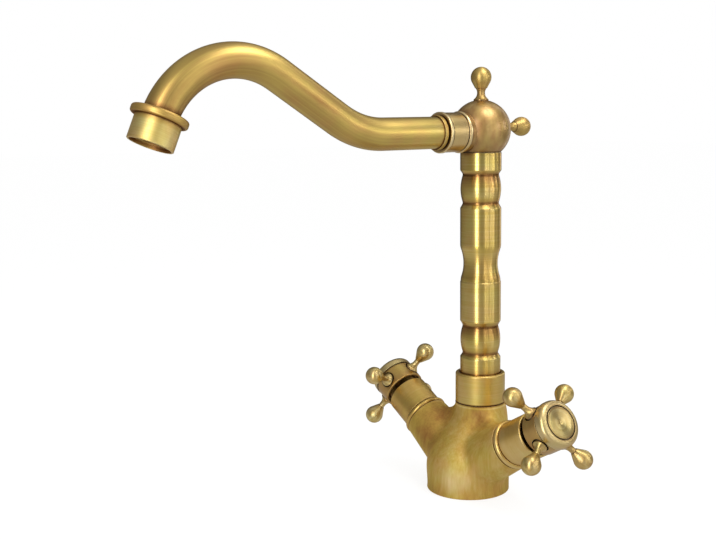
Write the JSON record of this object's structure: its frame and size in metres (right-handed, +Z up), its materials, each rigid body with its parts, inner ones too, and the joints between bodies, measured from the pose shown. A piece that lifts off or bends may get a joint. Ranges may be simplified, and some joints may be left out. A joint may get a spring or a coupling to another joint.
{
  "type": "kitchen faucet",
  "caption": "Deck-mounted mixer faucet with cross handles on angled horns, a turned column, a ball elbow and a swivelling swan-neck spout in antique brass.",
  "frame": {"origin": "centre of the foot's underside, on the deck", "axes": "+Z up along the column, -Y out along the spout, +X towards the cold handle"},
  "size_m": [0.1687, 0.2631, 0.2641],
  "materials": {
    "antique_brass": "brushed and darkened brass, brighter where it is rubbed",
    "plain_brass": "machined brass",
    "rubber": "black seal rubber",
    "ceramic": "lapped white ceramic",
    "plastic": "moulded plastic",
    "steel": "stainless steel"
  },
  "bodies": {
    "body": {"body_casting": "antique_brass", "base_gasket": "rubber", "swivel_collar": "antique_brass", "collar_set_screw": "steel", "column_glide_washer": "plastic", "hot_seat_seal": "rubber", "hot_fixed_disc": "ceramic", "hot_bonnet": "plain_brass", "hot_bonnet_seal": "rubber", "hot_thrust_washer": "plastic", "hot_sleeve": "antique_brass", "cold_seat_seal": "rubber", "cold_fixed_disc": "ceramic", "cold_bonnet": "plain_brass", "cold_bonnet_seal": "rubber", "cold_thrust_washer": "plastic", "cold_sleeve": "antique_brass"},
    "spout": {"riser_column": "antique_brass", "column_o_rings": "rubber", "column_retaining_ring": "steel", "elbow": "antique_brass", "elbow_o_ring": "rubber", "top_finial": "antique_brass", "rear_finial": "antique_brass", "spout_tube": "antique_brass", "tube_o_ring": "rubber", "spout_lock_ring": "antique_brass", "outlet_flange": "antique_brass", "aerator_housing": "antique_brass", "aerator_washer": "rubber", "aerator_insert": "plastic", "aerator_screen": "steel"},
    "hot_handle": {"hot_spindle": "plain_brass", "hot_spindle_o_ring": "rubber", "hot_spindle_clip": "steel", "hot_rotating_disc": "ceramic", "hot_handle_hub": "antique_brass", "hot_handle_spokes": "antique_brass", "hot_index_cap": "antique_brass", "hot_handle_screw": "steel"},
    "cold_handle": {"cold_spindle": "plain_brass", "cold_spindle_o_ring": "rubber", "cold_spindle_clip": "steel", "cold_rotating_disc": "ceramic", "cold_handle_hub": "antique_brass", "cold_handle_spokes": "antique_brass", "cold_index_cap": "antique_brass", "cold_handle_screw": "steel"}
  },
  "joints": [
    {"name": "spout_swivel", "type": "hinge", "parent": "body", "child": "spout", "pos_m": [0, 0.01, 0.07], "axis": [0, 0, 1], "continuous": true},
    {"name": "hot_handle_turn", "type": "hinge", "parent": "body", "child": "hot_handle", "pos_m": [-0.06712, 0, 0.05195], "axis": [-0.866, 0, 0.5], "range_deg": [0, 90]},
    {"name": "cold_handle_turn", "type": "hinge", "parent": "body", "child": "cold_handle", "pos_m": [0.06712, 0, 0.05195], "axis": [-0.866, 0, -0.5], "range_deg": [0, 90]}
  ]
}
